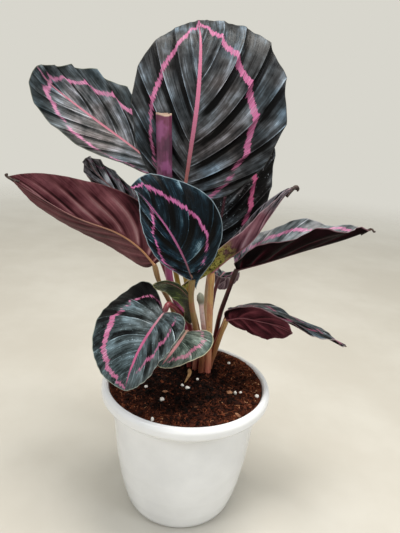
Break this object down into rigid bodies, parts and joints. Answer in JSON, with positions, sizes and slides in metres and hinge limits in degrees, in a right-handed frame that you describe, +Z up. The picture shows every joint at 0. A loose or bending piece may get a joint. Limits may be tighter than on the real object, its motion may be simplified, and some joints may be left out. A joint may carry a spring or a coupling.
{
  "type": "potted calathea house plant",
  "caption": "House plant in a round white plastic pot: broad dark leaves with a pink ring and maroon undersides, on slim stalks.",
  "frame": {"origin": "centre of the pot's underside, on the plane that the pot stands on", "axes": "+Z up along the pot's axis; the plant's front faces -Y, with +X to the right as seen from there"},
  "size_m": [0.289, 0.1912, 0.4228],
  "materials": {
    "pot": "glossy white moulded plastic",
    "soil": "moist potting mix of fine bark, coir and peat",
    "leaf": "satin slate-green leaf with a pink ring and midrib, maroon below",
    "leaf_underside": "satin maroon leaf underside with raised ribs, slate-green above",
    "leaf_green": "satin grey-green young leaf with a pale margin",
    "spear": "smooth purple rolled leaf and stalk",
    "shoot": "smooth pale pink shoot with a grey-green bud",
    "stalk_tan": "smooth tan to mustard stalk",
    "stalk_maroon": "smooth dark maroon stalk",
    "husk": "dry papery husk",
    "perlite": "rough white perlite",
    "bark": "rough bark chip"
  },
  "bodies": {
    "root": {"pot": "pot", "soil": "soil", "blade_top": "leaf", "blade_upper_left": "leaf", "blade_left": "leaf_underside", "blade_small_back": "leaf", "blade_centre": "leaf", "blade_lower_left": "leaf", "blade_lower_small": "leaf_green", "blade_right_back": "leaf", "blade_right_fold": "leaf_underside", "blade_long_right": "leaf_underside", "blade_lower_right": "leaf", "blade_lower_front": "leaf_underside", "blade_rear_small": "leaf_underside", "blade_sheath": "leaf_green", "spear_roll": "spear", "stalk_spear": "spear", "shoot": "shoot", "stalk_top": "stalk_tan", "stalk_upper_left": "stalk_tan", "stalk_left": "stalk_tan", "stalk_small_back": "stalk_maroon", "stalk_centre": "stalk_tan", "stalk_lower_left": "stalk_maroon", "stalk_lower_small": "stalk_tan", "stalk_right_back": "stalk_tan", "stalk_right_fold": "stalk_tan", "stalk_long_right": "stalk_maroon", "stalk_lower_right": "stalk_tan", "stalk_lower_front": "stalk_tan", "stalk_rear_small": "stalk_maroon", "stalk_sheath": "stalk_tan", "husk": "husk", "perlite_1": "perlite", "perlite_2": "perlite", "perlite_3": "perlite", "perlite_4": "perlite", "perlite_5": "perlite", "perlite_6": "perlite", "perlite_7": "perlite", "perlite_8": "perlite", "perlite_9": "perlite", "perlite_10": "perlite", "perlite_11": "perlite", "perlite_12": "perlite", "bark_1": "bark", "bark_2": "bark", "bark_3": "bark", "bark_4": "bark"}
  },
  "joints": []
}
